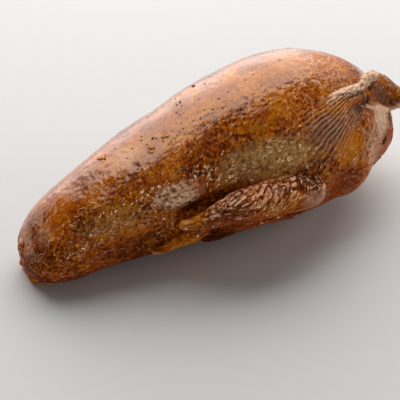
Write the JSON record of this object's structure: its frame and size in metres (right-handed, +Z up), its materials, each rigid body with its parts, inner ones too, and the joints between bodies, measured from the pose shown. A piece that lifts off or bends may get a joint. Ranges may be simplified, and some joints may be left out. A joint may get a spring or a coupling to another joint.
{
  "type": "stuffed pigeon",
  "caption": "Roast stuffed pigeon lying breast up, with glossy browned skin, a long stuffed neck, folded wings and tucked legs.",
  "frame": {"origin": "on the flat patch that the bird rests on, at its centre plane and about halfway along the body", "axes": "+X from the stuffed neck to the rump, +Z up through the breast, and the wing that the picture shows is on the -Y side"},
  "size_m": [0.1989, 0.098, 0.0767],
  "materials": {
    "skin": "browned, basted bird skin: glossy, translucent golden to red-brown, with fine follicle bumps and wrinkles"
  },
  "bodies": {
    "root": {"pigeon": "skin"}
  },
  "joints": []
}
